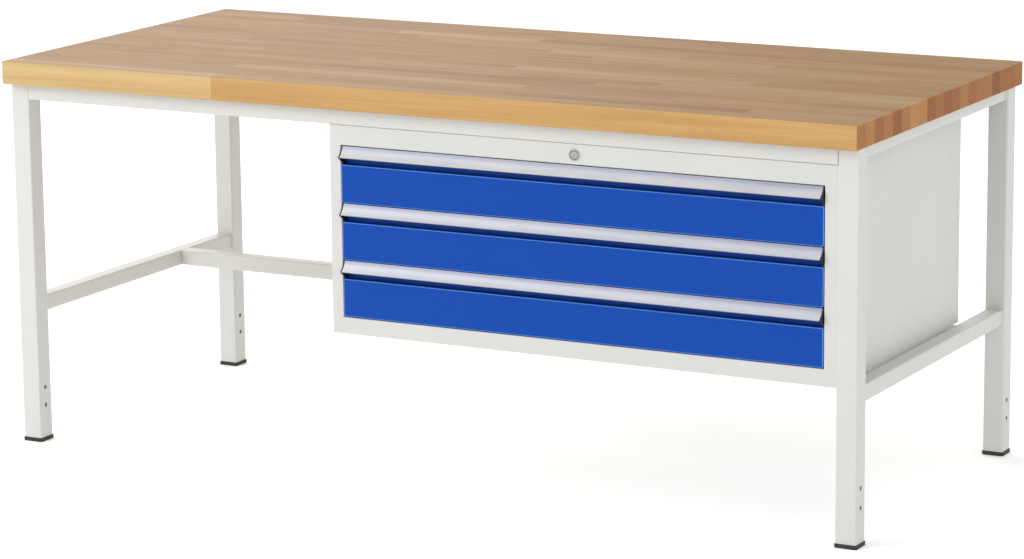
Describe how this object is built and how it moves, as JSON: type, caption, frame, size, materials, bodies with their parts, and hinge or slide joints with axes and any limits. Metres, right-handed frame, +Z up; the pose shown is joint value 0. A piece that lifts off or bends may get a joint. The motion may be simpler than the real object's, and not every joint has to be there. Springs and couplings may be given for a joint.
{
  "type": "workbench with drawers",
  "caption": "Steel workbench with a thick beech worktop, a lockable cabinet of wide sliding drawers hung under one side, and square legs on telescopic feet.",
  "frame": {"origin": "on the floor, under the middle of the worktop", "axes": "+X along the worktop towards the drawer end, +Y from the drawer side to the back, +Z up"},
  "size_m": [2, 0.9, 0.85],
  "materials": {
    "beech": "oiled satin",
    "frame_paint": "satin powder coat",
    "cabinet_paint": "satin powder coat",
    "zinc_steel": "zinc plated",
    "black_steel": "black oxide",
    "foot_steel": "zinc plated",
    "foot_plastic": "matte moulded",
    "slide_steel": "zinc plated",
    "drawer_blue": "satin powder coat",
    "drawer_box_paint": "satin powder coat",
    "grip_aluminium": "satin anodised",
    "grip_cap_plastic": "matte moulded",
    "lock_chrome": "satin nickel"
  },
  "bodies": {
    "frame": {"worktop": "beech", "worktop_screws": "zinc_steel", "leg_front_left": "frame_paint", "leg_front_right": "frame_paint", "leg_rear_left": "frame_paint", "leg_rear_right": "frame_paint", "foot_guides": "foot_plastic", "foot_clamp_nuts": "zinc_steel", "foot_clamp_screws": "black_steel", "upper_side_rails": "frame_paint", "lower_side_rails": "frame_paint", "front_rail": "frame_paint", "rear_rail": "frame_paint", "rail_stubs": "frame_paint", "rail_connectors": "zinc_steel", "stretcher": "frame_paint", "stretcher_cleats": "zinc_steel", "frame_bolts": "zinc_steel", "cabinet_side_left": "cabinet_paint", "cabinet_side_right": "cabinet_paint", "cabinet_back": "cabinet_paint", "cabinet_bottom": "cabinet_paint", "cabinet_top": "cabinet_paint", "cabinet_stiles": "cabinet_paint", "cabinet_sill": "cabinet_paint", "cabinet_fascia": "cabinet_paint", "cabinet_posts": "cabinet_paint", "slide_fixed": "slide_steel", "lock_housing": "lock_chrome", "lock_nut": "zinc_steel"},
    "foot_front_left": {"foot_tube_front_left": "foot_steel", "foot_cap_front_left": "foot_plastic"},
    "foot_front_right": {"foot_tube_front_right": "foot_steel", "foot_cap_front_right": "foot_plastic"},
    "foot_rear_left": {"foot_tube_rear_left": "foot_steel", "foot_cap_rear_left": "foot_plastic"},
    "foot_rear_right": {"foot_tube_rear_right": "foot_steel", "foot_cap_rear_right": "foot_plastic"},
    "drawer_1": {"drawer_front_1": "drawer_blue", "drawer_grip_1": "grip_aluminium", "drawer_grip_caps_1": "grip_cap_plastic", "drawer_box_1": "drawer_box_paint", "slide_inner_1": "slide_steel"},
    "slide_1": {"slide_middle_1": "slide_steel"},
    "drawer_2": {"drawer_front_2": "drawer_blue", "drawer_grip_2": "grip_aluminium", "drawer_grip_caps_2": "grip_cap_plastic", "drawer_box_2": "drawer_box_paint", "slide_inner_2": "slide_steel"},
    "slide_2": {"slide_middle_2": "slide_steel"},
    "drawer_3": {"drawer_front_3": "drawer_blue", "drawer_grip_3": "grip_aluminium", "drawer_grip_caps_3": "grip_cap_plastic", "drawer_box_3": "drawer_box_paint", "slide_inner_3": "slide_steel"},
    "slide_3": {"slide_middle_3": "slide_steel"},
    "key_plug": {"lock_plug": "lock_chrome", "lock_cam": "zinc_steel"},
    "lock_bar": {"lock_rod": "zinc_steel", "locking_bar": "zinc_steel"}
  },
  "joints": [
    {"name": "foot_front_left_extend", "type": "slide", "parent": "frame", "child": "foot_front_left", "axis": [0, 0, -1], "range_m": [0, 0.2]},
    {"name": "foot_front_right_extend", "type": "slide", "parent": "frame", "child": "foot_front_right", "axis": [0, 0, -1], "range_m": [0, 0.2]},
    {"name": "foot_rear_left_extend", "type": "slide", "parent": "frame", "child": "foot_rear_left", "axis": [0, 0, -1], "range_m": [0, 0.2]},
    {"name": "foot_rear_right_extend", "type": "slide", "parent": "frame", "child": "foot_rear_right", "axis": [0, 0, -1], "range_m": [0, 0.2]},
    {"name": "drawer_1_pull", "type": "slide", "parent": "frame", "child": "drawer_1", "axis": [0, -1, 0], "range_m": [0, 0.5]},
    {"name": "slide_1_middle", "type": "slide", "parent": "frame", "child": "slide_1", "axis": [0, -1, 0], "range_m": [0, 0.25]},
    {"name": "drawer_2_pull", "type": "slide", "parent": "frame", "child": "drawer_2", "axis": [0, -1, 0], "range_m": [0, 0.5]},
    {"name": "slide_2_middle", "type": "slide", "parent": "frame", "child": "slide_2", "axis": [0, -1, 0], "range_m": [0, 0.25]},
    {"name": "drawer_3_pull", "type": "slide", "parent": "frame", "child": "drawer_3", "axis": [0, -1, 0], "range_m": [0, 0.5]},
    {"name": "slide_3_middle", "type": "slide", "parent": "frame", "child": "slide_3", "axis": [0, -1, 0], "range_m": [0, 0.25]},
    {"name": "lock_turn", "type": "hinge", "parent": "frame", "child": "key_plug", "pos_m": [0.3785, -0.425, 0.743], "axis": [0, -1, 0], "range_deg": [0, 91]},
    {"name": "lock_bar_shift", "type": "slide", "parent": "frame", "child": "lock_bar", "axis": [1, 0, 0], "range_m": [0, 0.008]}
  ],
  "couplings": [
    {"joint": "slide_1_middle", "follows": "drawer_1_pull", "ratio": 0.5},
    {"joint": "slide_2_middle", "follows": "drawer_2_pull", "ratio": 0.5},
    {"joint": "slide_3_middle", "follows": "drawer_3_pull", "ratio": 0.5},
    {"joint": "lock_turn", "follows": "lock_bar_shift", "rad_per_m": 196.35}
  ]
}
